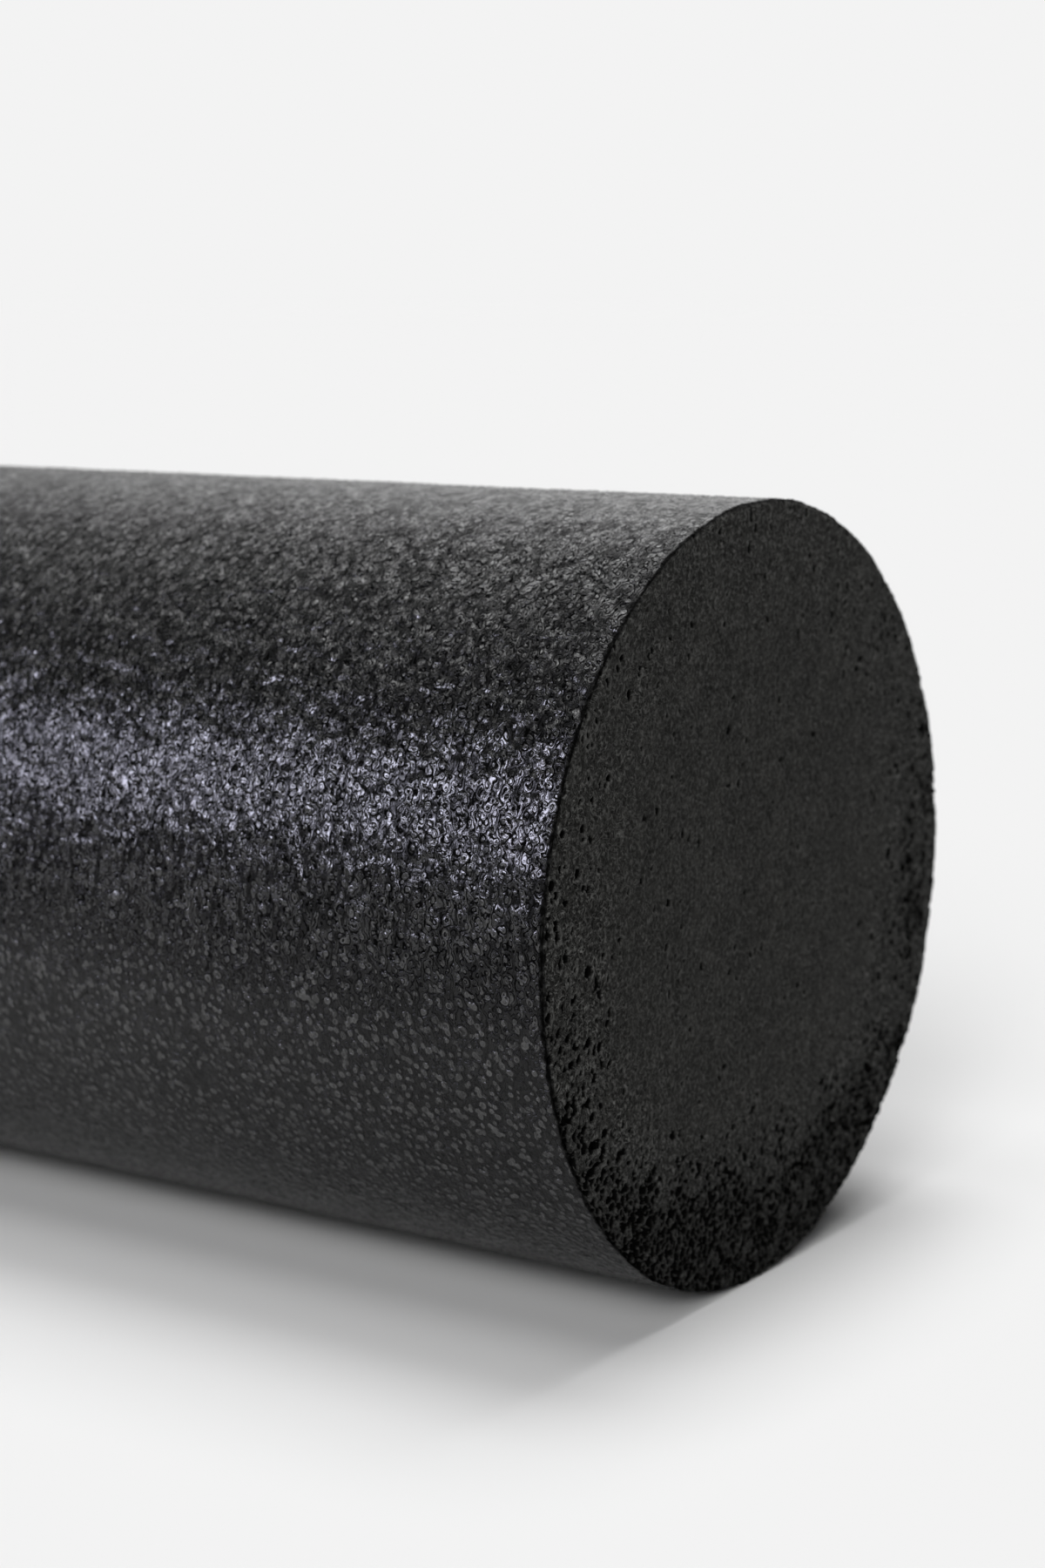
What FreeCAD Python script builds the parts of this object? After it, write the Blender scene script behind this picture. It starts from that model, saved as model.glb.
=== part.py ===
"""Solid foam roller, moulded in one shot from expanded polypropylene beads.

The roller lies on its side: +X along its axis, +Z up, origin at the middle of the axis.
It rests on z = -BARREL_DIAMETER / 2. Millimetres.

One bonded body is written as four solids that share faces with no gap or overlap:
  bead_core        the fused beads inside the skins
  barrel_skin      the glossy layer round the barrel
  left_end_skin    the matt layer at -X
  right_end_skin   the matt layer at +X
Barrel and end skins meet on a mitre that comes out at the middle of the rounded rim.
"""

import FreeCAD, Part
import math
import os

BARREL_DIAMETER = 150.0  # outside diameter over the skin
ROLLER_LENGTH = 450.0  # over both end faces
SKIN_THICKNESS = 3.0  # one layer of flattened beads
RIM_RADIUS = 1.2  # rounding where the barrel meets an end face

# Angles round the rim rounding
END_FACE_ANGLE = 0.0
MITRE_ANGLE = 45.0
BARREL_ANGLE = 90.0

BARREL_RADIUS = BARREL_DIAMETER / 2.0
HALF_LENGTH = ROLLER_LENGTH / 2.0
CORE_RADIUS = BARREL_RADIUS - SKIN_THICKNESS
CORE_HALF_LENGTH = HALF_LENGTH - SKIN_THICKNESS

# Centre of the rim rounding in the half section
RIM_CENTRE_X = HALF_LENGTH - RIM_RADIUS
RIM_CENTRE_R = BARREL_RADIUS - RIM_RADIUS

AXIS_POINT = FreeCAD.Vector(0, 0, 0)
AXIS_DIRECTION = FreeCAD.Vector(1, 0, 0)


# Half sections lie in the XZ plane. Their points are (x, radius), and side is
# -1 for the left end and +1 for the right end.


def line(start, end):
    (start_x, start_r), (end_x, end_r) = start, end
    return Part.LineSegment(
        FreeCAD.Vector(start_x, 0, start_r), FreeCAD.Vector(end_x, 0, end_r)
    ).toShape()


def rim_point(side, degrees):
    """Point on the rim rounding at one end."""
    angle = math.radians(degrees)
    x = side * (RIM_CENTRE_X + RIM_RADIUS * math.cos(angle))
    return x, RIM_CENTRE_R + RIM_RADIUS * math.sin(angle)


def rim_arc(side, start, end):
    """Part of the rim rounding between two angles."""
    points = []
    for degrees in (start, (start + end) / 2.0, end):
        x, radius = rim_point(side, degrees)
        points.append(FreeCAD.Vector(x, 0, radius))
    return Part.Arc(*points).toShape()


def core_corner(side):
    return side * CORE_HALF_LENGTH, CORE_RADIUS


def mitre(side):
    """Joint between the barrel skin and an end skin."""
    return line(core_corner(side), rim_point(side, MITRE_ANGLE))


def turned(edges):
    """Solid swept by a closed half section round the roller's axis."""
    wire = Part.Wire(Part.__sortEdges__(edges))
    solid = Part.Face(wire).revolve(AXIS_POINT, AXIS_DIRECTION, 360.0)
    # The drawing direction of the section can turn the solid inside out
    if solid.Volume < 0:
        solid.reverse()
    return solid


def bead_core():
    left_centre = FreeCAD.Vector(-CORE_HALF_LENGTH, 0, 0)
    return Part.makeCylinder(
        CORE_RADIUS, 2.0 * CORE_HALF_LENGTH, left_centre, AXIS_DIRECTION
    )


def barrel_skin():
    return turned([
        line(core_corner(-1), core_corner(+1)),
        mitre(+1),
        rim_arc(+1, MITRE_ANGLE, BARREL_ANGLE),
        line((RIM_CENTRE_X, BARREL_RADIUS), (-RIM_CENTRE_X, BARREL_RADIUS)),
        rim_arc(-1, BARREL_ANGLE, MITRE_ANGLE),
        mitre(-1),
    ])


def end_skin(side):
    inner_centre = (side * CORE_HALF_LENGTH, 0)
    outer_centre = (side * HALF_LENGTH, 0)
    return turned([
        line(inner_centre, outer_centre),
        line(outer_centre, (side * HALF_LENGTH, RIM_CENTRE_R)),
        rim_arc(side, END_FACE_ANGLE, MITRE_ANGLE),
        mitre(side),
        line(core_corner(side), inner_centre),
    ])


PARTS = {
    "bead_core": bead_core(),
    "barrel_skin": barrel_skin(),
    "left_end_skin": end_skin(-1),
    "right_end_skin": end_skin(+1),
}

os.makedirs("parts", exist_ok=True)
for name, shape in PARTS.items():
    shape.exportStep(f"parts/{name}.step")
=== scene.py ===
# A foam roller of fused beads: a cylinder lying along X, centred on the origin.
# It has a crinkled, shiny barrel skin, a dull porous skin on each end and a core of beads.
# The front is -Y, the right end +X. Shapes are worked out in millimetres.
import math
from collections import namedtuple
from functools import partial

import bpy
import numpy as np
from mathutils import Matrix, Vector


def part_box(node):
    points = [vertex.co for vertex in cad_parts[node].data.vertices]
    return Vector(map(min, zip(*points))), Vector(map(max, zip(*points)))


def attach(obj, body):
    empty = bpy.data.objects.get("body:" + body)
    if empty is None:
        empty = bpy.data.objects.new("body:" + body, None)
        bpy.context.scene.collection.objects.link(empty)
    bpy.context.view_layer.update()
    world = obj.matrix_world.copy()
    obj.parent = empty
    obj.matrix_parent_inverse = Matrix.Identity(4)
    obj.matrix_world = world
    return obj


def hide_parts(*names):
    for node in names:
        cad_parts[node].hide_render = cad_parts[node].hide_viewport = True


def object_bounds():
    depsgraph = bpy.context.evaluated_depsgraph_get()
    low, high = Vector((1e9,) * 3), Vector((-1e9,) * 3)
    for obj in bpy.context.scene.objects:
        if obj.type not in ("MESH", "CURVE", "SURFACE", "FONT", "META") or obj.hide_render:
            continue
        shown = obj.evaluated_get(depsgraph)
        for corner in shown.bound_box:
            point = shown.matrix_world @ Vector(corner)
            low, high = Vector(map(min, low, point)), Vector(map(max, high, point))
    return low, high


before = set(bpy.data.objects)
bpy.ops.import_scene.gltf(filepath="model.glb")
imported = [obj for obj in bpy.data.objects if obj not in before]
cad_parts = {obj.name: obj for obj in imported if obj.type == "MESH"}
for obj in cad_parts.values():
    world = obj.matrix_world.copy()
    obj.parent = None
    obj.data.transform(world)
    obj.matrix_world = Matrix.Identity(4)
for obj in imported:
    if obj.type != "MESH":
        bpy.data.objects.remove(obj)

# ---------------------------------------------------------------- sizes, mm

cad_lo, cad_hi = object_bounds()
_, skin_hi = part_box("barrel_skin")
core_lo, core_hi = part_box("bead_core")

HALF = round(cad_hi.x * 1000, 1)                # half length
RADIUS = round((cad_hi.z - cad_lo.z) * 500, 1)
# the barrel and end skins meet at 45 degrees round the rim's arc
RIM_R = round((cad_hi.x - skin_hi.x) * 1000 / (1 - math.cos(math.radians(45))), 1)
CORE_R = round((core_hi.z - core_lo.z) * 500, 1)
CORE_HALF = round(core_hi.x * 1000, 1)
CORE_GAP = 0.02                                 # between core and skins
FLAT_R = RADIUS - RIM_R                         # flat part of an end face
BARREL_X = HALF - RIM_R                         # half the straight part of the barrel
RIM_ARC = RIM_R * math.pi / 2
GIRTH = 2 * math.pi * RADIUS
FACE_CENTRE = BARREL_X + RIM_ARC + FLAT_R       # along the profile, mid barrel to face centre

COLS = 1184                   # points round the barrel
ARC_STEPS = 8                   # steps over half the rim's arc
MESH_STEP = 1.0               # multiplies the mesh spacing
WALL_COLS, WALL_ROWS = COLS // 4, 41            # the barrel skin's inner wall
BACK_COLS = COLS // 8                           # the flat back of an end skin
CORE_COLS, CORE_ROWS = 288, 261
CAP_STEP = 1.6                                  # ring spacing on the core's ends


# ---------------------------------------------------------------- number fields

def smoothstep(lo, hi, x):
    t = np.clip((x - lo) / (hi - lo), 0.0, 1.0)
    return t * t * (3 - 2 * t)


def mix(start, end, t):
    return start + (end - start) * t


def draws(rng, kinds, count):
    """`kinds` arrays of `count` random numbers from 0 to 1."""
    return [rng.random(count).astype(np.float32) for _ in range(kinds)]


table_rng = np.random.default_rng(4107)
PERMUTED = table_rng.permutation(256).astype(np.int32)
GRADIENTS = table_rng.normal(size=(256, 3)).astype(np.float32)
GRADIENTS /= np.linalg.norm(GRADIENTS, axis=1)[:, None]


def noise3(points, size, seed):
    """Smooth gradient noise over points, about -1 to 1, with features about `size` mm."""
    q = points / np.float32(size) + np.float32(37.17) * seed
    cell = np.floor(q).astype(np.int32)
    f = (q - cell).astype(np.float32)
    fade = f * f * f * (f * (f * 6 - 15) + 10)
    out = np.zeros(len(points), np.float32)
    for dx in (0, 1):
        hash_x = PERMUTED[(cell[:, 0] + dx) & 255]
        weight_x = fade[:, 0] if dx else 1 - fade[:, 0]
        for dy in (0, 1):
            hash_y = PERMUTED[(hash_x + cell[:, 1] + dy) & 255]
            weight_y = weight_x * (fade[:, 1] if dy else 1 - fade[:, 1])
            for dz in (0, 1):
                grad = GRADIENTS[PERMUTED[(hash_y + cell[:, 2] + dz) & 255]]
                dot = (grad[:, 0] * (f[:, 0] - dx) + grad[:, 1] * (f[:, 1] - dy)
                       + grad[:, 2] * (f[:, 2] - dz))
                out += dot * weight_y * (fade[:, 2] if dz else 1 - fade[:, 2])
    return out * 1.6


# distances to the three nearest beads, the nearest one's number and the offset from its middle
Beads = namedtuple("Beads", "first second third number off_a off_b count")


def pack_beads(a, b, *, seed, pitch, period, reach, stretch=1.0, jitter=0.36, spread=0.2):
    """Beads over a flat sheet that wraps at `period` in a and spans +-`reach` in b.
    jitter moves them off their grid, spread varies their size."""
    rng = np.random.default_rng(seed)
    cols = int(round(period / (pitch * stretch)))
    step_a, step_b = period / cols, pitch * 0.9
    start_b = -reach - 4 * step_b
    count = (int(2 * reach / step_b) + 9) * cols
    move_a, move_b, vary = (draw * 2 - 1 for draw in draws(rng, 3, count))
    move_a, move_b = move_a * jitter, move_b * jitter
    size = 1 + spread * vary
    a = (a % period).astype(np.float32)
    b = b.astype(np.float32)
    col0 = np.floor(a / step_a).astype(np.int32)
    row0 = np.floor((b - start_b) / step_b).astype(np.int32)
    first, second, third = (np.full(len(a), 1e6, np.float32) for _ in range(3))
    number = np.zeros(len(a), np.int32)
    off_a, off_b = np.zeros(len(a), np.float32), np.zeros(len(a), np.float32)
    for d_row in range(-2, 3):
        row = row0 + d_row
        shift = 0.5 * (row & 1) + 0.25
        for d_col in range(-2, 3):
            col = col0 + d_col
            bead = row * cols + col % cols
            to_a = (a - (col + shift + move_a[bead]) * step_a) / stretch
            to_b = b - (start_b + (row + 0.5 + move_b[bead]) * step_b)
            dist = np.sqrt(to_a * to_a + to_b * to_b) / size[bead]
            nearer = dist < first
            third = np.minimum(third, np.maximum(second, dist))
            second = np.minimum(second, np.maximum(first, dist))
            first = np.minimum(first, dist)
            number = np.where(nearer, bead, number)
            off_a = np.where(nearer, to_a, off_a)
            off_b = np.where(nearer, to_b, off_b)
    return Beads(first, second, third, number, off_a, off_b, count)


# ---------------------------------------------------------------- surface relief
# Heights are in mm along the profile's normal. Random draws keep their order.

BARREL_SHEET = dict(period=GIRTH, reach=BARREL_X + RIM_ARC + 6.0)
FACE_SHEET = dict(period=260.0, reach=90.0)
FACE_SHIFT = 120                                # keeps a face clear of its sheet's wrap


def pebbles(theta, along, points):
    """The barrel skin, unrolled: height, curl, how proud its bead stands, bead tone, and
    distance from the bead's middle as a share of its width."""
    grain = partial(noise3, points)
    # crumples run a little longer round the barrel
    crumple = partial(noise3, points * np.array([1.0, 0.72, 0.72], np.float32))
    a = theta * RADIUS + 0.34 * grain(size=2.0, seed=11)
    b = along + 0.34 * grain(size=2.0, seed=12)
    beads = pack_beads(a, b, seed=9031, pitch=1.74, stretch=1.04, jitter=0.42, spread=0.25,
                       **BARREL_SHEET)
    rng = np.random.default_rng(77)
    proud, tone, width = (draw[beads.number] for draw in draws(rng, 3, beads.count))
    tilt_a, tilt_b = (rng.normal(0, slope, beads.count).astype(np.float32)[beads.number]
                      for slope in (0.06, 0.10))
    here = smoothstep(0.10, 0.22, proud)
    lift = 0.03 + 0.12 * proud
    ring = beads.first / (0.38 + 0.29 * width)
    cap = smoothstep(1.32, 0.50, ring) * here
    height = cap * (lift + beads.off_a * tilt_a + beads.off_b * tilt_b)
    curl = np.sin((1.30 * crumple(size=2.5, seed=23) + 0.40 * crumple(size=1.4, seed=24)
                   + 0.18 * cap) * 2 * np.pi)
    height += 0.036 * curl + 0.045 * grain(size=3.2, seed=22)
    return height, 0.5 + 0.5 * curl, here * (0.40 + 0.60 * proud), tone, ring


def openness(y, z, rho, points, side):
    """How poorly the beads of an end face have fused, 0 to 1; rho is the distance from X."""
    grain = partial(noise3, points)
    if side > 0:
        # open texture low on the face and along the lower part of the rim
        low = smoothstep(-28.0, -66.0, z + 8.0 * grain(size=17.0, seed=51))
        band = smoothstep(50.0, 72.0, rho + 7.0 * grain(size=12.0, seed=52))
        front = smoothstep(30.0, -30.0, z) * smoothstep(5.0, -45.0, y)
        back = smoothstep(60.0, 0.0, z) * smoothstep(-10.0, 45.0, y)
        wide_band = smoothstep(40.0, 70.0, rho + 9.0 * grain(size=15.0, seed=56))
        amount = (low + band * 0.42 * front + wide_band * 0.62 * back
                  + 0.10 * smoothstep(30.0, 70.0, rho))
        patches = smoothstep(0.15, 0.5, grain(size=13.0, seed=57))
        amount = amount + 0.30 * patches * smoothstep(35.0, 60.0, rho)
        amount = amount * smoothstep(16.0, 58.0, rho)
    else:
        turn = np.arctan2(z, y)
        patch = 0.5 + 0.5 * np.sin(turn + 2.2) + 0.35 * grain(size=30.0, seed=53)
        band = smoothstep(42.0, 73.0, rho + 7.0 * grain(size=14.0, seed=54))
        amount = band * patch * 0.9 + 0.05
    return np.clip(amount, 0, 1).astype(np.float32)


def loose_pores(a, b, coarse, z, points, side):
    """Round pores of several sizes: how far inside one, its radius, and its raised lip."""
    grain = partial(noise3, points)
    beads = pack_beads(a + 3.3, b + 1.1, seed=733 + side, pitch=2.9, stretch=0.88,
                       jitter=0.48, **FACE_SHEET)
    rng = np.random.default_rng(99 + side)
    there, size = (draw[beads.number] for draw in draws(rng, 2, beads.count))
    loose = smoothstep(-0.15, 0.35, grain(size=11.0, seed=77 + side))
    radius = (((0.27 + 0.17 * coarse) + (0.42 + 0.28 * coarse) * size ** 2)
              * (1 + 0.22 * grain(size=0.9, seed=69 + side)))
    if side > 0:
        holey = coarse * (0.18 + 0.82 * smoothstep(25.0, -35.0, z))
    else:
        holey = coarse * 0.5
    live = (there < 0.08 + 0.32 * loose + 0.38 * holey).astype(np.float32)
    inside = (1 - smoothstep(radius * 0.62, radius * 1.15, beads.first)) * live
    lip = np.exp(-((beads.first - radius * 1.45) / 0.20) ** 2) * live
    return inside, radius, lip


def pores(y, z, points, side):
    """A flat end face: low bead outlines, open pores between beads where fusion is poor.
    Returns height, curl, pit depth, openness, coarseness and lip."""
    grain = partial(noise3, points)
    a = (y + FACE_SHIFT + 0.42 * grain(size=1.6, seed=41 + side)
         + 0.20 * grain(size=0.85, seed=45 + side))
    b = z + 0.42 * grain(size=1.6, seed=43 + side) + 0.20 * grain(size=0.85, seed=47 + side)
    beads = pack_beads(a, b, seed=515 + side, pitch=1.75, jitter=0.45, spread=0.34,
                       **FACE_SHEET)
    rng = np.random.default_rng(613 + side)
    # the third draw isn't used, but keeps the later ones in step
    proud, gone, _, inset, deep = (draw[beads.number] for draw in draws(rng, 5, beads.count))
    tilt_a, tilt_b = (rng.normal(0, 0.05, beads.count).astype(np.float32)[beads.number]
                      for _ in range(2))
    rho = np.sqrt(y * y + z * z)
    dens = openness(y, z, rho, points, side)
    outer = 0.80 * smoothstep(46.0, 71.0, rho) * (1.0 - 0.75 * smoothstep(8.0, 44.0, z))
    coarse = 1.2 * dens + outer * (1.0 + 0.9 * grain(size=9.0, seed=55))
    coarse = np.clip(coarse, 0, 1).astype(np.float32)
    edge = beads.second - beads.first
    junction = beads.third - beads.first
    curl = np.sin((1.6 * grain(size=2.2, seed=25 + side)
                   + 0.5 * grain(size=1.2, seed=27 + side)) * 2 * np.pi)
    height = smoothstep(0.0, 0.9, edge) * (
        (0.10 + 0.08 * coarse) * (0.2 + proud) + beads.off_a * tilt_a + beads.off_b * tilt_b)
    height += ((0.022 + 0.040 * coarse) * curl
               + (0.035 + 0.05 * coarse) * grain(size=0.95, seed=61 + side))
    height -= (0.03 + 0.04 * coarse) * smoothstep(0.30, 0.0, edge)
    # beads that never filled out: a hollow inside thin walls
    chance = 0.010 + 0.82 * dens ** 2.0
    wall = 0.55 * inset * (1 - 0.6 * dens)
    hollow = smoothstep(0.06 + wall, 0.50 + 1.1 * wall,
                        edge + 0.10 * grain(size=0.9, seed=67 + side)) * (gone < chance)
    # small voids where three beads meet
    void = (dens * 0.52 + 0.50 * grain(size=2.1, seed=63 + side)
            + 0.28 * grain(size=8.0, seed=65 + side) - 0.46)
    void = np.clip(void, 0, 0.80)
    pit = np.where(void > 0.05, 1 - smoothstep(0.15, 1.0, junction / np.maximum(void, 1e-3)), 0)
    inside, pore_r, lip = loose_pores(a, b, coarse, z, points, side)
    height += 0.08 * lip
    depth = 0.35 + 0.60 * deep + 0.35 * dens
    dug = np.maximum(hollow * depth, np.maximum(pit * 0.55, inside * (0.20 + 1.1 * pore_r)))
    # from here lip also marks bead edges in open texture and the walls of hollows, for painted
    # highlight on the end face
    lip = np.maximum(lip, 0.6 * np.exp(-(edge / 0.22) ** 2) * dens)
    lip = lip * (1 - np.clip(dug * 3, 0, 1))
    lip = np.maximum(lip, 0.25 * (hollow * (1 - hollow) * 4))
    return height - dug, 0.5 + 0.5 * curl, np.clip(dug, 0, 1), dens, coarse, lip


def field(places, along):
    """Height and shading masks for points of the outer surface.
    along is the distance along the profile from the middle of the barrel."""
    x, y, z = places.T
    points = places.astype(np.float32)
    grain = partial(noise3, points)
    theta = (np.arctan2(z, -y) % (2 * np.pi)).astype(np.float32)
    out = {key: np.zeros(len(x), np.float32) for key in (
        "height", "curl", "disc", "tone", "ring", "pit", "rim", "open", "gloss", "coarse", "lip")}
    past = (np.abs(along) - BARREL_X).astype(np.float32)      # past the start of the rim's arc
    rag = 0.40 * grain(size=1.7, seed=73) + 0.30 * grain(size=0.9, seed=74)
    rim = np.exp(-((past - RIM_ARC * 0.42 + 0.9 * rag) / (RIM_ARC * 0.42)) ** 2)
    rim = rim.astype(np.float32)

    on = past < RIM_ARC + 3.6
    height, curl, disc, tone, ring = pebbles(theta[on], along[on].astype(np.float32), points[on])
    calm = 1 - 0.45 * smoothstep(-0.2, RIM_ARC * 0.6, past[on])
    out["ring"][on] = np.minimum(ring, 4.0)
    out["height"][on] = (height - 0.05) * calm
    out["curl"][on] = curl
    out["disc"][on] = disc * calm
    out["tone"][on] = tone
    out["gloss"][on] = 1 - smoothstep(0.02, 0.60, past[on] + 0.8 * rag[on])

    for side in (1, -1):
        on = (past > 0.05) & (x * side > 0)
        if not on.any():
            continue
        height, curl, pit, dens, coarse, lip = pores(
            y[on].astype(np.float32), z[on].astype(np.float32), points[on], side)
        height = height * (0.45 + 0.55 * smoothstep(0.3, 2.2, past[on])) - 0.03
        t = smoothstep(0.10, 1.15, past[on] + 0.9 * rag[on])
        for key, start, end in (
                ("height", out["height"][on], height), ("curl", out["curl"][on], curl),
                ("disc", out["disc"][on], 0), ("coarse", 0.8, coarse)):
            out[key][on] = mix(start, end, t)
        for key, mask in (("pit", pit), ("open", dens), ("lip", lip)):
            out[key][on] = mask * t
    out["rim"] = rim
    # slow unevenness of the whole moulding, then a battered rim
    out["height"] += 0.10 * grain(size=13.0, seed=31) + 0.12 * grain(size=46.0, seed=32) - 0.06
    out["height"] += rim * (0.13 * grain(size=1.3, seed=71) + 0.12 * grain(size=2.8, seed=75)
                            + 0.26 * grain(size=8.0, seed=72))
    return out


# ---------------------------------------------------------------- mesh building

def build(name, material, verts, faces, masks, creases):
    """faces: (corner indices, corner UVs) pairs of arrays. masks: values for the first
    vertices, 0 for the rest. creases: (first vertex, count) of each sharp-edged ring."""
    mesh = bpy.data.meshes.new(name)
    mesh.vertices.add(len(verts))
    mesh.vertices.foreach_set("co", (verts * 0.001).astype(np.float32).ravel())
    loops = np.concatenate([corners.ravel() for corners, _ in faces]).astype(np.int32)
    sizes = np.concatenate([np.full(len(corners), corners.shape[1]) for corners, _ in faces])
    mesh.loops.add(len(loops))
    mesh.loops.foreach_set("vertex_index", loops)
    mesh.polygons.add(len(sizes))
    mesh.polygons.foreach_set("loop_start", (np.cumsum(sizes) - sizes).astype(np.int32))
    mesh.update(calc_edges=True)
    mesh.polygons.foreach_set("use_smooth", np.ones(len(sizes), bool))
    uv_map = mesh.uv_layers.new(name="OFBake")
    uvs = np.concatenate([uv.reshape(-1, 2) for _, uv in faces]).astype(np.float32)
    uv_map.uv.foreach_set("vector", uvs.ravel())
    for key, values in masks.items():
        padded = np.zeros(len(verts), np.float32)
        padded[:len(values)] = values
        mesh.attributes.new(key, "FLOAT", "POINT").data.foreach_set("value", padded)
    ring = np.zeros(len(verts), np.int8)
    for number, (start, count) in enumerate(creases, 1):
        ring[start: start + count] = number
    ends = np.zeros(len(mesh.edges) * 2, np.int32)
    mesh.edges.foreach_get("vertices", ends)
    end_a, end_b = ring[ends.reshape(-1, 2)].T
    crisp = (end_a > 0) & (end_a == end_b)
    mesh.attributes.new("sharp_edge", "BOOLEAN", "EDGE").data.foreach_set("value", crisp)
    mesh.update()
    piece = bpy.data.objects.new(name, mesh)
    bpy.context.scene.collection.objects.link(piece)
    mesh.materials.append(material)
    return piece


def angles(count):
    """Even angles round the roller: 0 faces the front (-Y), rising towards the top."""
    return np.arange(count) * 2 * np.pi / count


def ring_points(x, radius, theta):
    return np.stack([x + 0 * theta, -radius * np.cos(theta), radius * np.sin(theta)], -1)


def disc_uv(centre_u, centre_v, radius, theta):
    return np.stack([centre_u - radius * np.cos(theta), centre_v + radius * np.sin(theta)], -1)


def next_round(count):
    """Indices round a closed ring, and the index after each."""
    here = np.arange(count)
    return here, (here + 1) % count


def zipper(outer_angles, outer_start, inner_angles, inner_start):
    """Triangles between two closed rings of any counts. Angles rise from 0."""
    n_outer, n_inner = len(outer_angles), len(inner_angles)
    following = [np.append(a[1:], a[0] + 2 * np.pi) for a in (outer_angles, inner_angles)]
    order = np.argsort(np.concatenate(following), kind="stable")
    on_outer = order < n_outer
    on_inner = ~on_outer
    step_outer = np.cumsum(on_outer) - on_outer
    step_inner = np.cumsum(on_inner) - on_inner
    new = np.where(on_outer, outer_start + (step_outer + 1) % n_outer,
                   inner_start + (step_inner + 1) % n_inner)
    return np.stack([outer_start + step_outer % n_outer, new,
                     inner_start + step_inner % n_inner], 1)


def disc_faces(ring_angles, pair_up=False):
    """Triangles of a disc of rings numbered from the outside in, then its middle point.
    pair_up joins rings with equal counts as split quads."""
    counts = [len(theta) for theta in ring_angles]
    starts = [sum(counts[:k]) for k in range(len(counts) + 1)]
    tris = []
    for k in range(len(counts) - 1):
        outer, inner = starts[k], starts[k + 1]
        if pair_up and counts[k] == counts[k + 1]:
            here, after = next_round(counts[k])
            tris.append(np.stack([outer + here, outer + after, inner + here], 1))
            tris.append(np.stack([outer + after, inner + after, inner + here], 1))
        else:
            tris.append(zipper(ring_angles[k], outer, ring_angles[k + 1], inner))
    here, after = next_round(counts[-1])
    middle = np.full(counts[-1], starts[-1])
    tris.append(np.stack([starts[-2] + here, starts[-2] + after, middle], 1))
    return np.concatenate(tris)


def grid_faces(rows, cols):
    """Quads of a sheet that closes on itself across cols, with their corner rows and columns."""
    row, col = np.indices((rows - 1, cols))
    row = np.stack([row, row, row + 1, row + 1], -1).reshape(-1, 4)
    col = np.stack([col, col + 1, col + 1, col], -1).reshape(-1, 4)
    return row * cols + col % cols, row, col


# ---------------------------------------------------------------- skins
# A profile row is x, radius, normal x, normal radius, distance along the profile.

THETA = angles(COLS)


def rim_row(degrees, side=1):
    """Profile row on the rim's arc: 90 at the barrel, 0 at the flat face."""
    turn = math.radians(degrees)
    cos, sin = math.cos(turn), math.sin(turn)
    return (side * (BARREL_X + RIM_R * cos), FLAT_R + RIM_R * sin, side * cos, sin,
            side * (BARREL_X + RIM_R * (math.pi / 2 - turn)))


def barrel_profile():
    """The barrel skin's outer profile, from the right mitre to the left one."""
    rows = [rim_row(45 + 45 * k / ARC_STEPS) for k in range(ARC_STEPS)]
    x = BARREL_X
    while x > -BARREL_X:
        rows.append((x, RADIUS, 0.0, 1.0, x))
        # finest by the right rim, coarser towards the left end
        if x > BARREL_X - 3:
            spacing = 0.30
        elif x > 0:
            spacing = 0.40
        else:
            spacing = 0.40 + 0.12 * min(1, -x / 60)
        x -= spacing * MESH_STEP
    close = 0.2 * MESH_STEP
    if x + BARREL_X >= -close and abs(rows[-1][0] + BARREL_X) <= close:
        rows.pop()
    rows.append((-BARREL_X, RADIUS, 0.0, 1.0, -BARREL_X))
    rows += [rim_row(90 - 45 * k / ARC_STEPS, side=-1) for k in range(1, ARC_STEPS + 1)]
    return np.array(rows)


def relief(profile, theta, side=1):
    """Outer surface points raised by the field, and the masks. The field is read at
    the mirrored place when side is -1."""
    x, radius, normal_x, normal_r, along = profile.T
    masks = field(ring_points(side * x, radius, theta), side * along)
    height = masks["height"]
    return ring_points(x + normal_x * height, radius + normal_r * height, theta), masks


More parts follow.
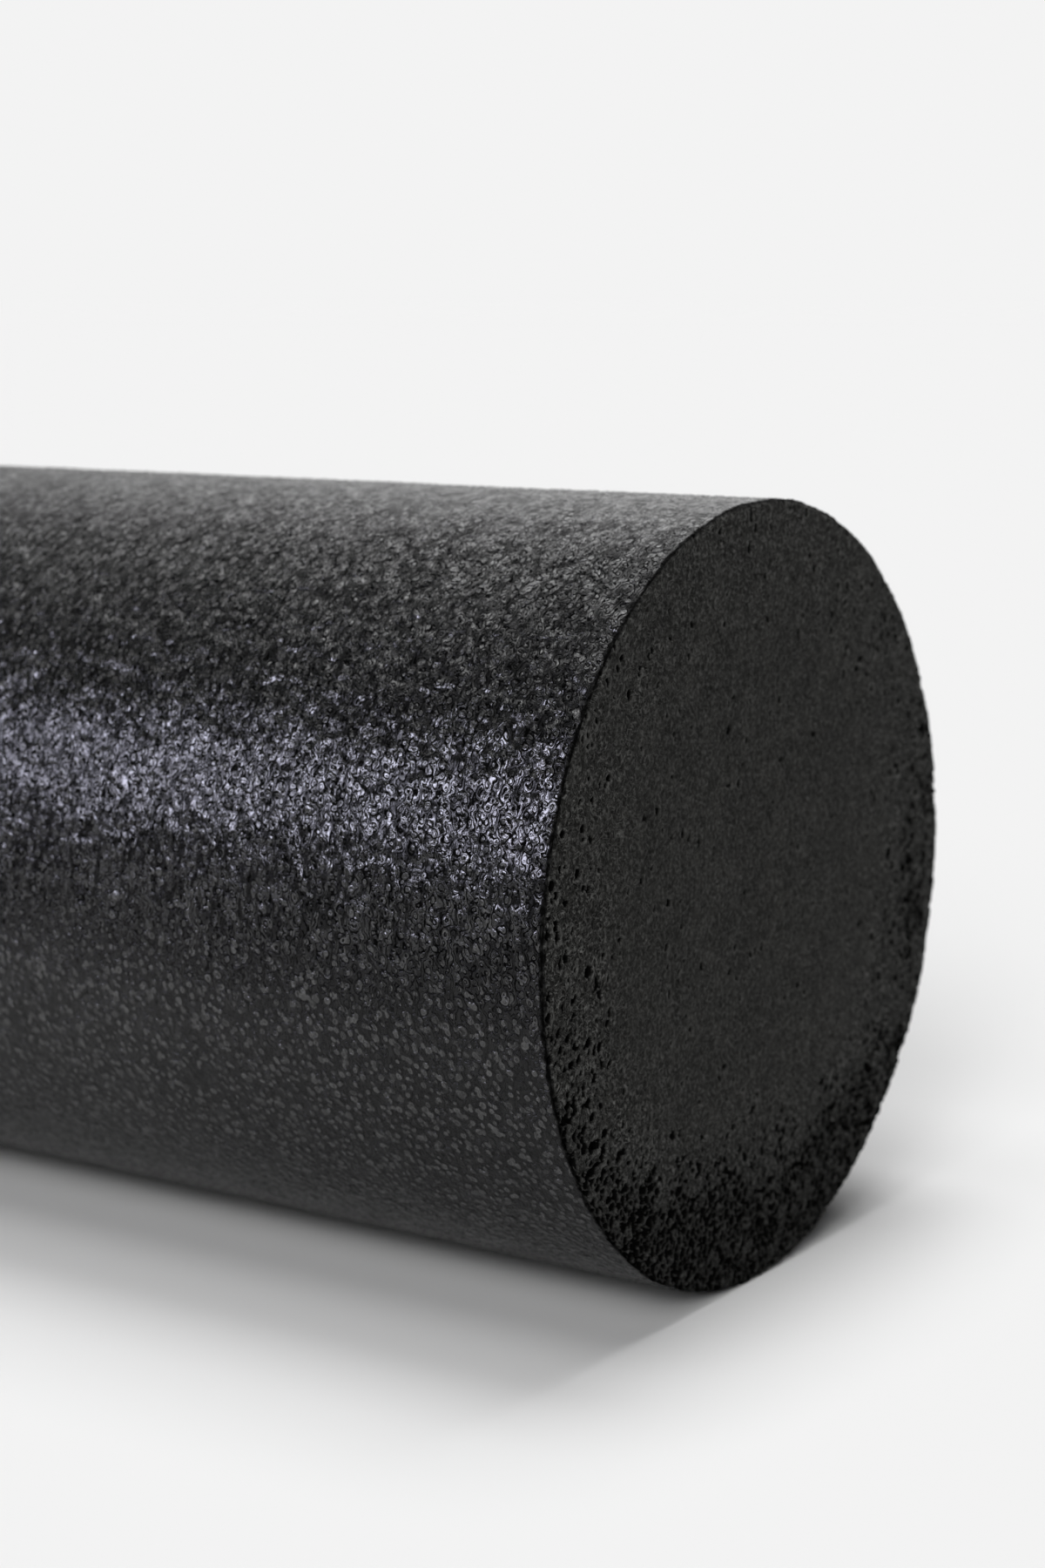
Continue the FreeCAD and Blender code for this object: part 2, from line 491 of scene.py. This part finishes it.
def make_barrel(material):
    profile = barrel_profile()
    rows = len(profile)
    outer, masks = relief(np.repeat(profile, COLS, axis=0), np.tile(THETA, rows))
    quads, row, col = grid_faces(rows, COLS)
    length = np.concatenate([[0], np.cumsum(np.hypot(*np.diff(profile[:, :2], axis=0).T))])
    length /= length[-1]
    uv_outer = np.stack([col / COLS, 0.07 + 0.93 * length[row]], -1)

    # the wall against the core, a coarser sleeve
    wall_theta = angles(WALL_COLS)
    wall = np.concatenate([ring_points(x, CORE_R + CORE_GAP, wall_theta)
                           for x in np.linspace(CORE_HALF, -CORE_HALF, WALL_ROWS)])
    wall_start = len(outer)
    wall_end = wall_start + (WALL_ROWS - 1) * WALL_COLS
    wall_quads, row, col = (part[:, ::-1] for part in grid_faces(WALL_ROWS, WALL_COLS))
    uv_wall = np.stack([col / WALL_COLS, 0.005 + 0.030 * row / (WALL_ROWS - 1)], -1)

    # the mitres join them
    last_row = (rows - 1) * COLS
    right = zipper(THETA, 0, wall_theta, wall_start)[:, ::-1]
    left = zipper(THETA, last_row, wall_theta, wall_end)
    mitres = np.concatenate([right, left])
    verts = np.concatenate([outer, wall])
    corners = verts[mitres]
    around = np.arctan2(corners[:, :, 2], -corners[:, :, 1]) / (2 * np.pi) % 1.0
    crosses_seam = around.max(1) - around.min(1) > 0.5
    around = np.where(crosses_seam[:, None] & (around < 0.5), around + 1, around)
    strip = np.where(np.arange(len(mitres))[:, None] < len(right), 0.040, 0.050)
    uv_mitres = np.stack([np.clip(around, 0, 1), strip + 0.008 * (mitres < wall_start)], -1)

    keys = ("curl", "disc", "tone", "ring", "rim", "gloss", "pit")
    return build(
        "barrel_skin_surface", material, verts,
        [(quads, uv_outer), (wall_quads + wall_start, uv_wall), (mitres, uv_mitres)],
        {key: masks[key] for key in keys},
        [(0, COLS), (last_row, COLS), (wall_start, WALL_COLS), (wall_end, WALL_COLS)])


def make_end(name, side, material):
    """The flat face with its half of the rim's arc, and a flat back against the core.
    Worked out at the right end and mirrored for the left."""
    rows = [rim_row(45 - 45 * k / ARC_STEPS) for k in range(ARC_STEPS + 1)]
    counts = [COLS] * len(rows)
    pitch = 0.30 * MESH_STEP
    radius = FLAT_R - 0.24 * MESH_STEP
    while radius > pitch * 0.8:
        rows.append((HALF, radius, 1.0, 0.0, FACE_CENTRE - radius))
        counts.append(max(8, int(round(2 * math.pi * radius / (pitch * 1.02)))))
        radius -= pitch * (0.8 if radius > FLAT_R - 2 else 0.96)
    ring_angles = [angles(count) for count in counts]
    # each ring's row for all its points, then the middle point
    rows.append((HALF, 0.0, 1.0, 0.0, FACE_CENTRE))
    profile = np.repeat(np.array(rows), counts + [1], axis=0)
    theta = np.append(np.concatenate(ring_angles), 0.0)
    outer, masks = relief(profile, theta, side)
    face_tris = disc_faces(ring_angles, pair_up=True)

    # the back, and the mitre that joins it to the face
    back_theta = angles(BACK_COLS)
    back_radii = [CORE_R, CORE_R * 0.75, CORE_R * 0.5, CORE_R * 0.25]
    back_x = CORE_HALF + CORE_GAP
    start = len(outer)
    back = np.concatenate([ring_points(back_x, radius, back_theta) for radius in back_radii]
                          + [np.array([[back_x, 0.0, 0.0]])])
    mitre = zipper(THETA, 0, back_theta, start)[:, ::-1]
    back_tris = [mitre]
    here, after = next_round(BACK_COLS)
    inner = start
    for _ in back_radii[1:]:
        ring, inner = inner, inner + BACK_COLS
        back_tris.append(np.stack([ring + after, ring + here, inner + here], 1))
        back_tris.append(np.stack([inner + after, ring + after, inner + here], 1))
    middle = np.full(BACK_COLS, start + len(back) - 1)
    back_tris.append(np.stack([inner + after, inner + here, middle], 1))
    verts = np.concatenate([outer, back])
    tris = np.concatenate([face_tris, *back_tris])
    if side > 0:
        tris = tris[:, ::-1]
    else:
        verts[:, 0] *= -1

    # the face fills the map; the back is a small disc in a corner, ringed by the mitre
    face_r = (FACE_CENTRE - profile[:, 4]) / (RIM_ARC * 0.5 + FLAT_R) * 0.47
    back_r = np.append(np.repeat(back_radii, BACK_COLS), 0) / CORE_R * 0.060
    back_around = np.append(np.tile(back_theta, len(back_radii)), 0)
    uv_back = disc_uv(0.085, 0.085, back_r, back_around)
    uv = np.concatenate([disc_uv(0.5, 0.5, face_r, theta), uv_back])[tris]
    at_mitre = slice(len(face_tris), len(face_tris) + len(mitre))
    uv_ring = disc_uv(0.085, 0.085, 0.072, theta)
    uv[at_mitre] = np.concatenate([uv_ring, uv_back])[tris[at_mitre]]

    keys = ("curl", "rim", "pit", "open", "coarse", "lip")
    return build(name, material, verts, [(tris, uv)], {key: masks[key] for key in keys},
                 [(0, COLS), (start, BACK_COLS)])


# ---------------------------------------------------------------- core

CORE_BEADS = dict(pitch=4.2)
CORE_SINK = 0.04                                # bead tops below the core's nominal size
JOINT_DEPTH = 0.42


def core_cap(side, centre_u, edge_start, start):
    """One end of the core. edge_start is its ring on the side sheet, start its first new
    vertex. Returns points, bead mask, tones, triangles and their UVs."""
    radii = np.arange(CORE_R - CAP_STEP, 1.0, -CAP_STEP)
    counts = [max(8, int(round(2 * math.pi * radius / CAP_STEP))) for radius in radii]
    ring_angles = [angles(count) for count in counts]
    radius = np.repeat(radii, counts)
    theta = np.concatenate(ring_angles)
    _, y, z = ring_points(0.0, radius, theta).T
    beads = pack_beads((y + FACE_SHIFT).astype(np.float32), z.astype(np.float32),
                       seed=2301 + side, **CORE_BEADS, **FACE_SHEET)
    top = smoothstep(0.0, 1.4, beads.second - beads.first)
    x = side * (CORE_HALF + (-CORE_SINK - (1 - top) * JOINT_DEPTH))
    points = np.concatenate([np.stack([x, y, z], 1), [[side * (CORE_HALF - CORE_SINK), 0.0, 0.0]]])
    tone = np.random.default_rng(6).random(beads.count).astype(np.float32)[beads.number]

    tris = disc_faces([angles(CORE_COLS), *ring_angles])
    map_r = np.concatenate([np.full(CORE_COLS, CORE_R), radius, [0.0]]) / CORE_R * 0.19
    map_theta = np.concatenate([angles(CORE_COLS), theta, [0.0]])
    uv = disc_uv(centre_u, 0.80, map_r, map_theta)[tris]
    tris = np.where(tris < CORE_COLS, edge_start + tris, start + tris - CORE_COLS)
    if side > 0:
        tris, uv = tris[:, ::-1], uv[:, ::-1]
    return points, np.append(top, 1.0), np.append(tone, 0.5), tris, uv


def make_core(material):
    """The fused beads under the skins, rounder and open at the joints."""
    rows_x = np.linspace(CORE_HALF, -CORE_HALF, CORE_ROWS)
    x = np.repeat(rows_x, CORE_COLS)
    theta = np.tile(angles(CORE_COLS), CORE_ROWS)
    beads = pack_beads((theta * CORE_R).astype(np.float32), x.astype(np.float32), seed=2201,
                       period=2 * math.pi * CORE_R, reach=CORE_HALF, **CORE_BEADS)
    tone = np.random.default_rng(5).random(beads.count).astype(np.float32)[beads.number]
    top = smoothstep(0.0, 1.4, beads.second - beads.first)
    fade = smoothstep(0.0, 1.2, CORE_HALF - np.abs(x))
    height = -CORE_SINK - (1 - top) * JOINT_DEPTH * fade
    points = [ring_points(x, CORE_R + height, theta)]
    quads, row, col = grid_faces(CORE_ROWS, CORE_COLS)
    faces = [(quads, np.stack([col / CORE_COLS, 0.60 * row / (CORE_ROWS - 1)], -1))]
    bead_masks, tones = [top], [tone]
    last_row = (CORE_ROWS - 1) * CORE_COLS
    for side, centre_u, edge_start in ((1, 0.2, 0), (-1, 0.62, last_row)):
        start = sum(len(part) for part in points)
        cap, top, tone, tris, uv = core_cap(side, centre_u, edge_start, start)
        points.append(cap)
        bead_masks.append(top)
        tones.append(tone)
        faces.append((tris, uv))
    masks = {"bead": np.concatenate(bead_masks), "tone": np.concatenate(tones)}
    return build("bead_core_foam", material, np.concatenate(points), faces, masks,
                 [(0, CORE_COLS), (last_row, CORE_COLS)])


# ---------------------------------------------------------------- shader helpers

def fill(tree, node, inputs):
    """Set or link a node's inputs, given as {name or index: value or Signal}."""
    for key, value in dict(inputs).items():
        if isinstance(value, Signal):
            tree.links.new(value.socket, node.inputs[key])
        else:
            node.inputs[key].default_value = value


def add_node(tree, kind, inputs=(), **settings):
    node = tree.nodes.new(kind)
    for name, setting in settings.items():
        setattr(node, name, setting)
    fill(tree, node, inputs)
    return node


class Signal:
    """A node's output. Working with it adds nodes to its tree."""

    def __init__(self, tree, socket):
        self.tree = tree
        self.socket = socket

    def node(self, kind, inputs, output=0, **settings):
        node = add_node(self.tree, kind, inputs, **settings)
        return Signal(self.tree, node.outputs[output])

    def math(self, operation, *terms):
        terms = (*terms, 0.0, 0.0)[:3]
        return self.node("ShaderNodeMath", enumerate(terms), operation=operation)

    def then(self, operation, *others):
        return self.math(operation, self, *others)

    def __add__(self, other):
        return self.then("ADD", other)

    def __radd__(self, other):
        return self.math("ADD", other, self)

    def __sub__(self, other):
        return self.then("SUBTRACT", other)

    def __rsub__(self, other):
        return self.math("SUBTRACT", other, self)

    def __mul__(self, other):
        return self.then("MULTIPLY", other)

    def __truediv__(self, other):
        return self.then("DIVIDE", other)

    def times_plus(self, factor, added):
        return self.then("MULTIPLY_ADD", factor, added)

    def vector(self, operation, other, key=1, output=0):
        return self.node("ShaderNodeVectorMath", {0: self, key: other}, output,
                         operation=operation)

    def split(self):
        node = add_node(self.tree, "ShaderNodeSeparateXYZ", {0: self})
        return [Signal(self.tree, socket) for socket in node.outputs]

    def grey(self):
        return self.node("ShaderNodeCombineColor", {0: self, 1: self, 2: self})

    def noise(self, scale, detail, rough=0.5, distort=0.0):
        return self.node("ShaderNodeTexNoise", {
            "Vector": self, "Scale": scale, "Detail": detail, "Roughness": rough,
            "Distortion": distort}, "Fac")

    def ramp(self, over, to=(0.0, 1.0)):
        """Smooth change from to[0] to to[1] as the signal goes from over[0] to over[1]."""
        return self.node("ShaderNodeMapRange", {
            "Value": self, "From Min": over[0], "From Max": over[1], "To Min": to[0],
            "To Max": to[1]}, "Result", interpolation_type="SMOOTHSTEP")

    def between(self, at0, at1):
        return self.node("ShaderNodeMix", {0: self, 2: at0, 3: at1}, data_type="FLOAT")

    def colour(self, at0, at1):
        return self.node("ShaderNodeMix", {"Factor": self, 6: at0, 7: at1}, 2,
                         data_type="RGBA")

    def bump(self, distance):
        return self.node("ShaderNodeBump", {"Strength": 1.0, "Distance": distance,
                                            "Height": self})


def start_tree(tree, output_kind, shader_kind):
    """Empty the tree and give it one shader, which is returned."""
    tree.nodes.clear()
    output = add_node(tree, output_kind)
    shader = add_node(tree, shader_kind)
    tree.links.new(shader.outputs[0], output.inputs[0])
    return shader


def new_material(name, shader_kind="ShaderNodeBsdfPrincipled"):
    material = bpy.data.materials.new(name)
    material.use_nodes = True
    tree = material.node_tree
    return material, tree, start_tree(tree, "ShaderNodeOutputMaterial", shader_kind)


def coordinates(tree, kind):
    return Signal(tree, add_node(tree, "ShaderNodeTexCoord").outputs[kind])


def millimetres(tree):
    return coordinates(tree, "Object").vector("SCALE", 1000.0, key="Scale")


def attributes(tree, *names):
    return [Signal(tree, add_node(tree, "ShaderNodeAttribute", attribute_name=name).outputs["Fac"])
            for name in names]


def light_path(tree, *rays):
    node = add_node(tree, "ShaderNodeLightPath")
    return [Signal(tree, node.outputs[ray]) for ray in rays]


def paint(base, *layers):
    """Lay (mask, colour) layers over a base colour."""
    for mask, colour in layers:
        base = mask.colour(base, colour)
    return base


def ridges(phase, soft=0.10):
    """Rounded ridges, one per unit of phase: 0 in the sharp valleys, about 1 on the crests."""
    wave = (phase * math.pi).then("SINE")
    return wave.times_plus(wave, soft * soft).then("SQRT") - soft


# painted shade along the rim, broken into noisy patches
def rim_shade(points, rim, most):
    shade_patches = points.noise(scale=0.55, detail=2.0, rough=0.6).ramp(over=(0.38, 0.58), to=(0.45, 1.0))
    return shade_patches * rim.ramp(over=(0.34, 0.88), to=(0.0, most))


# ---------------------------------------------------------------- materials

BLACK = (0.0015, 0.0015, 0.0015, 1)             # painted shade in the folds and pits of the barrel skin


def gloss_skin():
    """A thin crinkled shiny film, paler where beads stand proud, dull on the rim; painted shade
    darkens its folds, pits and rim.
    """
    material, tree, bsdf = new_material("barrel_gloss_foam")
    points = millimetres(tree)
    stretched = points.vector("MULTIPLY", (1.0, 0.42, 0.42))
    east, _, up = points.split()
    proud, tone, rim, shiny, ring, pit = attributes(
        tree, "disc", "tone", "rim", "gloss", "ring", "pit")
    disc = proud * ring.ramp(over=(1.16, 0.82))
    outline = proud * (ring.ramp(over=(0.45, 0.72)) * ring.ramp(over=(1.02, 0.80)))

    # crinkles: ridges that follow the beads and run into one another
    warp = stretched.noise(scale=0.33, detail=1.6, distort=0.6)
    phase = warp.times_plus(6.5, east * 0.42)
    phase = ring.then("MINIMUM", 2.2).times_plus(0.75, phase)
    fold = ridges(phase)
    thin_phase = phase.times_plus(2.0, points.noise(scale=0.9, detail=1.0) * 2.2)
    thin = ridges(thin_phase).ramp(over=(0.0, 0.50))
    fine = stretched.noise(scale=1.50, detail=1.5, distort=0.7)
    grain = points.noise(scale=4.5, detail=1.0)

    # where the crinkles are strong: in patches, above mid height, towards the right end
    swing = points.noise(scale=0.22, detail=1.0).ramp(over=(0.36, 0.60))
    deep = up.ramp(over=(-20.0, 2.0)) * up.ramp(over=(75.0, 66.0))
    near = east.ramp(over=(100.0, 200.0))
    shoulder = up.ramp(over=(28.0, 42.0)) * up.ramp(over=(74.0, 66.0))
    amount = (swing.between(at0=0.07, at1=0.17) * near.between(at0=0.88, at1=1.15)
              * disc.between(at0=1.0, at1=0.85))
    amount = amount * shoulder.times_plus(2.10, deep.between(at0=0.60, at1=1.25))
    height = thin.times_plus(0.32, fold.ramp(over=(0.0, 0.62))) * amount
    for pattern, share in ((warp, 0.24), (fine, 0.10), (grain, 0.010), (outline, 0.02)):
        height = pattern.times_plus(share, height)

    spot = disc * (tone.between(at0=0.34, at1=0.92) * deep.between(at0=1.0, at1=0.70))
    film_colour = spot.colour((0.0080, 0.0080, 0.0084, 1), (0.043, 0.043, 0.0438, 1))
    film_colour = paint(
        film_colour,
        (outline * tone.between(at0=0.15, at1=0.75), (0.075, 0.075, 0.0762, 1)),
        # painted shade in the valleys of the folds and fine crinkles, stronger above mid height
        (fold.ramp(over=(0.48, 0.18)) * deep.between(at0=0.22, at1=0.95), BLACK),
        (fine.ramp(over=(0.44, 0.32)) * deep.between(at0=0.28, at1=0.8), BLACK))
    # the dull rim arc, kept dark as painted shade of the rim, with painted shade in the valleys of
    # its fine crinkles
    dull = fine.ramp(over=(0.46, 0.60)).colour(
        (0.0016, 0.0016, 0.0015, 1), (0.026, 0.026, 0.0250, 1))
    base = paint(
        shiny.colour(dull, film_colour),
        # painted shade on the rim and in the pits
        (rim_shade(points, rim, most=0.90), (0.0026, 0.0026, 0.0025, 1)),
        (pit.ramp(over=(0.08, 0.50)), BLACK))

    rough = disc.between(at0=0.175, at1=0.15) + (grain - 0.5) * 0.14

    # the film's reflections, patchy and mostly lost below mid height
    film = stretched.noise(scale=0.75, detail=1.0, distort=0.4).ramp(
        over=(0.42, 0.58), to=(0.10, 0.85))
    film = film * up.ramp(over=(62.0, 30.0), to=(0.64, 1.0))
    clump = points.noise(scale=0.20, detail=2.0, rough=0.55, distort=0.4).ramp(
        over=(0.41, 0.59), to=(0.25, 1.85))
    film = film * up.ramp(over=(26.0, 42.0)).between(at0=1.0, at1=clump)
    below = near.between(at0=0.34, at1=0.20) * swing.ramp(over=(0.0, 1.0), to=(0.80, 1.20))
    film = up.ramp(over=(-9.0, 8.0)).between(at0=below, at1=film)
    specular = disc.then("MAXIMUM", film).between(at0=0.08, at1=1.0)
    specular = specular * fold.ramp(over=(0.09, 0.46)).between(
        at0=deep.between(at0=0.60, at1=0.02), at1=1.0)
    specular = specular * thin.ramp(over=(0.0, 0.7)).between(
        at0=deep.between(at0=0.80, at1=0.25), at1=1.0)
    specular = shiny.between(at0=0.20, at1=specular) * pit.ramp(over=(0.30, 0.08))
    specular = specular * rim.ramp(over=(0.85, 0.25), to=(0.04, 1.0))
    fill(tree, bsdf, {
        "Base Color": base,
        "Roughness": shiny.between(at0=0.45, at1=rough.then("MAXIMUM", 0.11)),
        "Specular IOR Level": specular,
        "Normal": height.bump(distance=0.001)})
    return material


def matt_skin():
    """End face: dull and finely wrinkled, with painted shade in its hollows and pores and low on
    the face, and painted highlight on its crests.
    """
    material, tree, bsdf = new_material("end_matt_foam")
    points = millimetres(tree)
    curl, rim, pit, open_and_shade, coarse, lip = attributes(
        tree, "curl", "rim", "pit", "open", "coarse", "lip")
    _, _, up = points.split()
    # thin folded crests with broad hollows between
    warp = points.noise(scale=0.36, detail=1.0, distort=0.8)
    crest = 1.0 - ridges(warp * 9.0, soft=0.02)
    crest = crest * crest
    fine = points.noise(scale=1.2, detail=3.0, rough=0.62, distort=0.6)
    mottle = points.noise(scale=0.42, detail=2.5, rough=0.55, distort=0.5)
    cloud = points.noise(scale=0.030, detail=2.0)
    stain = points.noise(scale=0.085, detail=2.0, rough=0.55)
    blot = points.noise(scale=0.24, detail=2.0, rough=0.6, distort=0.8)
    # smooth patches between the folded ones
    patch = points.noise(scale=0.16, detail=1.0, distort=0.5).ramp(over=(0.40, 0.56))
    folded = coarse * patch.between(at0=0.25, at1=1.0)
    height = crest * folded.between(at0=0.02, at1=0.30)
    height = fine.times_plus(coarse.between(at0=0.22, at1=0.80), height)
    height = mottle.times_plus(0.85, height)

    # mottled tone, partly own colour and partly painted light: paler where the mottles are raised
    base = mottle.ramp(over=(0.34, 0.66)).colour(
        (0.0150, 0.0148, 0.0136, 1), (0.0365, 0.0360, 0.0335, 1))
    base = paint(
        base,
        # broad dark stains and pale clouds
        (stain.ramp(over=(0.56, 0.40)) * 0.34, (0.0110, 0.0110, 0.0104, 1)),
        (cloud.ramp(over=(0.35, 0.65), to=(0.0, 0.25)), (0.028, 0.028, 0.0265, 1)),
        # painted shade in the hollows of the curls and the fine grain
        (curl.ramp(over=(0.42, 0.02)) * coarse.between(at0=0.25, at1=0.75),
         (0.006, 0.006, 0.0056, 1)),
        (fine.ramp(over=(0.49, 0.40)) * coarse.between(at0=0.15, at1=0.85),
         (0.0030, 0.0030, 0.0028, 1)),
        # painted highlight on the tops of the grain and the folds
        (fine.ramp(over=(0.55, 0.66)) * coarse.between(at0=0.20, at1=1.0),
         (0.160, 0.160, 0.153, 1)),
        (crest.ramp(over=(0.30, 0.75)) * folded.between(at0=0.10, at1=1.0),
         (0.200, 0.200, 0.192, 1)),
        # dark blots, then painted highlight on the pore lips and hollow walls
        (blot.ramp(over=(0.47, 0.34)) * coarse.between(at0=0.30, at1=0.40),
         (0.009, 0.009, 0.0083, 1)),
        (lip * coarse.between(at0=0.22, at1=0.80), (0.170, 0.170, 0.163, 1)),
        # painted shade low on the face, on the rim and in the pores; darker where fusion is poor,
        # partly own colour and partly painted shade
        (up.ramp(over=(-38.0, -72.0), to=(0.0, 0.45)), (0.006, 0.006, 0.0056, 1)),
        (open_and_shade * 0.50, (0.007, 0.007, 0.0065, 1)),
        (rim_shade(points, rim, most=0.92), (0.0022, 0.0022, 0.0021, 1)),
        (pit.ramp(over=(0.10, 0.55)), (0.0055, 0.0055, 0.0052, 1)))
    shine = fine.ramp(over=(0.40, 0.62), to=(0.02, 0.16))
    fill(tree, bsdf, {
        "Base Color": base,
        "Roughness": 0.60 + fine * 0.20,
        "Specular IOR Level": pit.ramp(over=(0.05, 0.4)).between(at0=shine, at1=0.0),
        "Normal": height.bump(distance=0.001)})
    return material


def core_foam():
    """Bulk beads: dull, each bead a little different, dark in the joints."""
    material, tree, bsdf = new_material("core_bead_foam")
    bead, tone = attributes(tree, "bead", "tone")
    fine = millimetres(tree).noise(scale=1.8, detail=3.0, rough=0.6)
    base = paint(
        tone.colour((0.020, 0.020, 0.020, 1), (0.040, 0.040, 0.039, 1)),
        (bead.ramp(over=(0.6, 0.0)) * 0.8, (0.004, 0.004, 0.004, 1)),
        (fine * 0.35, (0.010, 0.010, 0.010, 1)))
    fill(tree, bsdf, {
        "Base Color": base,
        "Roughness": 0.6 + fine * 0.25,
        "Specular IOR Level": 0.3,
        "Normal": fine.bump(distance=0.0002)})
    return material


# ---------------------------------------------------------------- the object

def register(piece, cad_name):
    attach(piece, "root")
    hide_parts(cad_name)


gloss, matt, foam = gloss_skin(), matt_skin(), core_foam()
register(make_barrel(gloss), "barrel_skin")
register(make_end("right_end_surface", 1, matt), "right_end_skin")
register(make_end("left_end_surface", -1, matt), "left_end_skin")
register(make_core(foam), "bead_core")

# ---------------------------------------------------------------- floor and lights

PAPER = 0.896                                   # brightness of the seamless paper, linear
ALBEDO = 0.80
ALBEDO_DIFFUSE, ALBEDO_GLOSSY = 0.46, 0.58      # the dimmer floor that the roller sees
FLOOR_HALF = 60.0                               # m
DOME = 0.035                                    # even fill for dull surfaces
FLOOR_LIGHT = (PAPER / ALBEDO - DOME) * math.pi

# direction to the light, width in degrees, share of the light on the floor
SOFT_BOXES = (
    # a broad bank overhead, leaning a little to the left end
    ((-0.14, 0.10, 0.98), 20, 0.225),
    ((-0.01, 0.0, 1.0), 20, 0.115),
    ((-0.06, -0.34, 0.93), 22, 0.175),
    ((-0.08, 0.34, 0.93), 22, 0.190),
    # a bank in front and to the right
    ((0.18, -0.77, 0.60), 22, 0.140),
    ((0.36, -0.83, 0.44), 20, 0.155),
)


def add_object(name, data):
    thing = bpy.data.objects.new(name, data)
    bpy.context.scene.collection.objects.link(thing)
    return thing


def make_floor():
    mesh = bpy.data.meshes.new("paper_floor")
    corners = [(x * FLOOR_HALF, y * FLOOR_HALF, cad_lo.z)
               for x, y in ((-1, -1), (1, -1), (1, 1), (-1, 1))]
    mesh.from_pydata(corners, [], [(0, 1, 2, 3)])
    floor = add_object("paper_floor", mesh)
    material, tree, diffuse = new_material("paper", "ShaderNodeBsdfDiffuse")
    is_diffuse, is_glossy = light_path(tree, "Is Diffuse Ray", "Is Glossy Ray")
    shade = is_diffuse.between(at0=ALBEDO, at1=ALBEDO_DIFFUSE)
    shade = is_glossy.between(at0=shade, at1=ALBEDO_GLOSSY)
    fill(tree, diffuse, {"Color": shade.grey()})
    mesh.materials.append(material)


def soft_box(name, toward, width, share):
    """A far soft light. Shiny surfaces see the world's walls instead."""
    data = bpy.data.lights.new(name, "SUN")
    aim = Vector(toward).normalized()
    data.energy = FLOOR_LIGHT * share / aim.z
    data.angle = math.radians(width)
    light = add_object(name, data)
    light.rotation_mode = "QUATERNION"
    light.rotation_quaternion = aim.to_track_quat("Z", "Y")
    light.visible_glossy = False


make_floor()
for number, soft_box_row in enumerate(SOFT_BOXES):
    soft_box("bank_%d" % number, *soft_box_row)

# ---------------------------------------------------------------- world

ROOM_DIM = 0.035                                # the unlit part of the room, in reflections
BOX_COLOUR = (11.0, 11.0, 13.6, 1)
BOX_AIM = Vector((-0.610, -0.690, 0.385)).normalized()      # to the front left, raised


def reflected_wall(direction):
    """A bright wall above and behind the roller, shifting forward away from the left end."""
    east, north, up = direction.split()
    # degrees round the roller's axis: 0 is the front horizon, 90 overhead, 180 the back
    turn = up.then("ARCTAN2", north * -1.0) * (180 / math.pi)
    shift = (east + 0.62).then("MAXIMUM", -0.05).then("MINIMUM", 0.10)
    lean = shift.times_plus(150.0, turn)
    wall = (lean.ramp(over=(84.0, 110.0), to=(0.0, 1.24))
            * turn.ramp(over=(118.0, 172.0), to=(1.0, 0.35)))
    return wall * east.ramp(over=(-0.78, -0.48), to=(0.64, 1.90)), east


def reflected_box(direction, east):
    """Mask of a soft box hung a little askew, dimmer towards the left."""
    side_axis = Vector((0, 0, 1)).cross(BOX_AIM).normalized()
    up_axis = BOX_AIM.cross(side_axis).normalized()

    def dot(axis):
        return direction.vector("DOT_PRODUCT", tuple(axis), output="Value")

    facing = dot(BOX_AIM).then("MAXIMUM", 0.02)
    across = dot(side_axis) / facing
    above = dot(up_axis) / facing
    width = across.then("ABSOLUTE")
    height = (above - (across - 0.10) * 0.18).then("ABSOLUTE")
    mask = width.ramp(over=(0.68, 0.46)) * height.ramp(over=(0.185, 0.125))
    mask = mask * facing.then("GREATER_THAN", 0.05)
    return mask * east.ramp(over=(-0.69, -0.53), to=(0.36, 1.08))


def make_world():
    """The camera sees paper, dull surfaces an even dome, shiny ones the wall and soft box."""
    world = bpy.data.worlds.new("studio")
    bpy.context.scene.world = world
    world.use_nodes = True
    world.cycles.sampling_method = "NONE"
    tree = world.node_tree
    background = start_tree(tree, "ShaderNodeOutputWorld", "ShaderNodeBackground")
    direction = coordinates(tree, "Generated")
    wall, east = reflected_wall(direction)
    box = reflected_box(direction, east).colour((0, 0, 0, 1), BOX_COLOUR)
    reflected = box.vector("ADD", (wall + ROOM_DIM).grey())
    is_glossy, is_camera = light_path(tree, "Is Glossy Ray", "Is Camera Ray")
    seen = is_glossy.colour((DOME, DOME, DOME, 1), reflected)
    seen = is_camera.colour(seen, (PAPER, PAPER, PAPER, 1))
    fill(tree, background, {"Color": seen})


make_world()

# ---------------------------------------------------------------- camera

scene = bpy.context.scene
scene.view_settings.view_transform = "Standard"
scene.view_settings.look = "None"
scene.view_settings.exposure = 0
scene.view_settings.gamma = 1

focus = add_object("focus_point", None)
focus.location = (0.2247, -0.0735, 0.004)

lens = bpy.data.cameras.new("camera")
camera = add_object("camera", lens)
camera.location = (0.4893, -0.4752, 0.1108)
camera.rotation_mode = "QUATERNION"
camera.rotation_quaternion = Vector((-0.5498, 0.8194, -0.1623)).to_track_quat("-Z", "Y")
lens.lens = 67.27
lens.sensor_width = 36.0
lens.clip_start = 0.01
lens.clip_end = 200.0
lens.dof.use_dof = True
lens.dof.focus_object = focus
lens.dof.aperture_fstop = 16.0
scene.camera = camera
